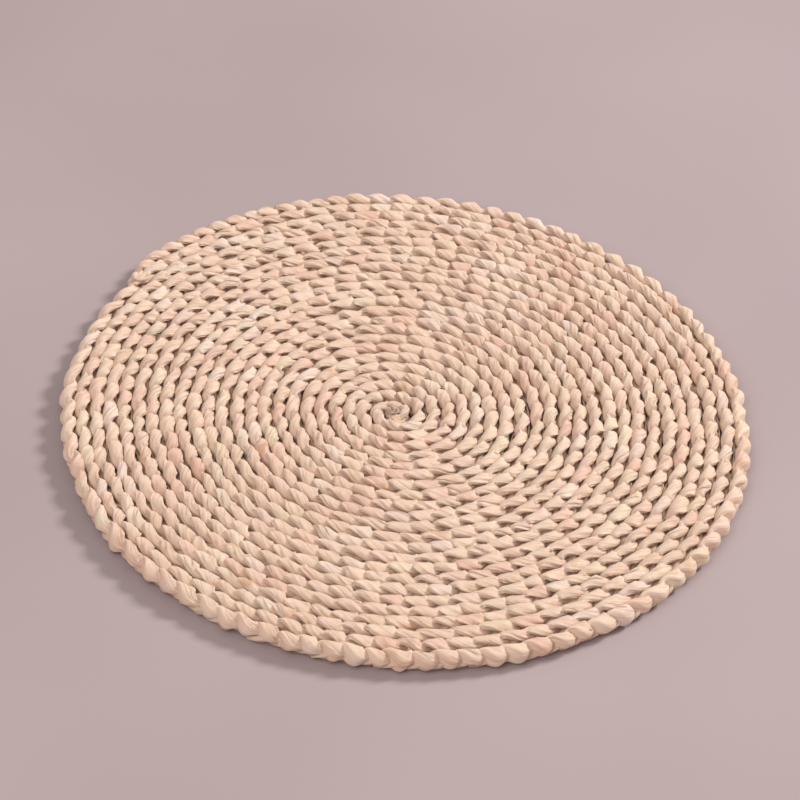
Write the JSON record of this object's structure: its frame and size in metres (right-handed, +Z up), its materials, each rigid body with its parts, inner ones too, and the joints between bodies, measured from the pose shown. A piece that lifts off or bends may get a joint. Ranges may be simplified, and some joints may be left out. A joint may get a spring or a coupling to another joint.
{
  "type": "round plaited seat pad",
  "caption": "Flat round seat pad coiled from one long three-strand plait of pale plant husk and sewn along its spiral seam.",
  "frame": {"origin": "centre of the pad's bounding box, on its underside", "axes": "+Z up out of the seat face, the pad lies flat on XY; +X to the right and +Y to the back, seen with the plait's tail at the back left"},
  "size_m": [0.3984, 0.4014, 0.012],
  "materials": {
    "husk": "dry plaited plant husk, soft satin",
    "thread": "twisted cotton sewing thread"
  },
  "bodies": {
    "root": {"centre_knot": "husk", "course_01": "husk", "course_02": "husk", "course_03": "husk", "course_04": "husk", "course_05": "husk", "course_06": "husk", "course_07": "husk", "course_08": "husk", "course_09": "husk", "course_10": "husk", "course_11": "husk", "course_12": "husk", "course_13": "husk", "course_14": "husk", "course_15": "husk", "course_16": "husk", "course_17": "husk", "course_18": "husk", "course_19": "husk", "course_20": "husk", "course_21": "husk", "course_22": "husk", "course_23": "husk", "course_24": "husk", "seam_thread_01": "thread", "seam_thread_02": "thread", "seam_thread_03": "thread", "seam_thread_04": "thread", "seam_thread_05": "thread", "seam_thread_06": "thread", "seam_thread_07": "thread", "seam_thread_08": "thread", "seam_thread_09": "thread", "seam_thread_10": "thread", "seam_thread_11": "thread", "seam_thread_12": "thread", "seam_thread_13": "thread", "seam_thread_14": "thread", "seam_thread_15": "thread", "seam_thread_16": "thread", "seam_thread_17": "thread", "seam_thread_18": "thread", "seam_thread_19": "thread", "seam_thread_20": "thread", "seam_thread_21": "thread", "seam_thread_22": "thread", "seam_thread_23": "thread", "tail_tuck": "husk"}
  },
  "joints": []
}
